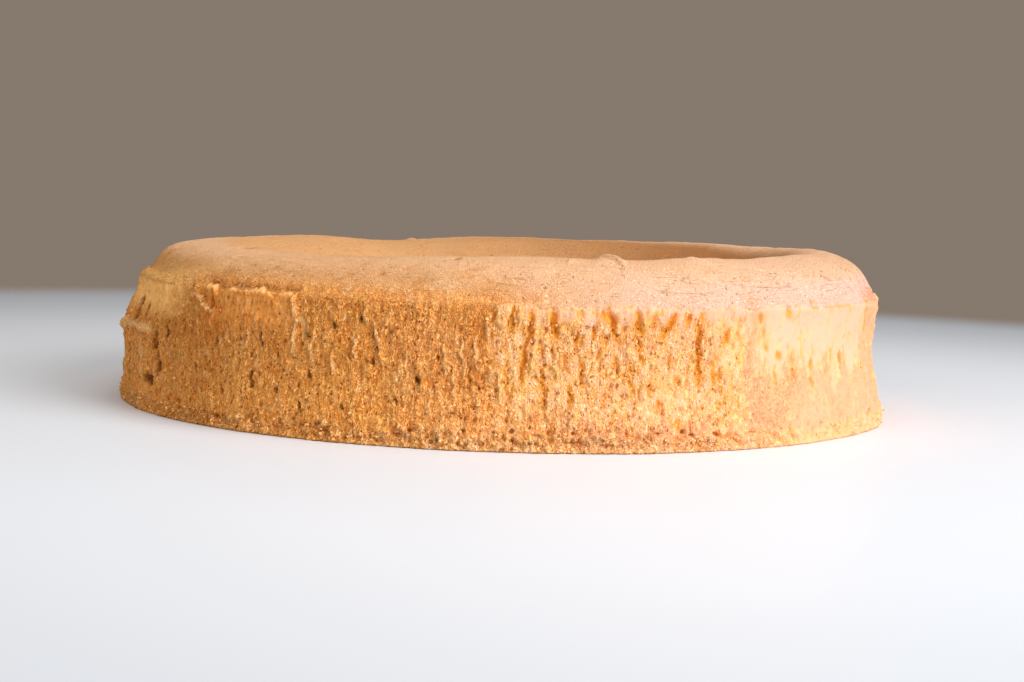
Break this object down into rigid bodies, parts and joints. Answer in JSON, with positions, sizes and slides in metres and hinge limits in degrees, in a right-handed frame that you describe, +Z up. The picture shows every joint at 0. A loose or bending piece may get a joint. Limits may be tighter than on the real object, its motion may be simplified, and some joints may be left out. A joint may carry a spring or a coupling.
{
  "type": "sponge cake base",
  "caption": "Round baked sponge cake base with a raised, rounded rim, a sunken centre and a torn golden side, ready to fill or to cut into layers.",
  "frame": {"origin": "middle of the flat underside", "axes": "+Z up out of the top crust; -Y towards the side with the torn crumb, which is the front; +X towards the higher, rounder part of the rim"},
  "size_m": [0.2404, 0.2404, 0.0513],
  "materials": {
    "sponge": "dry golden-brown baked crust over pale porous crumb, fully matt"
  },
  "bodies": {
    "root": {"sponge_cake": "sponge"}
  },
  "joints": []
}
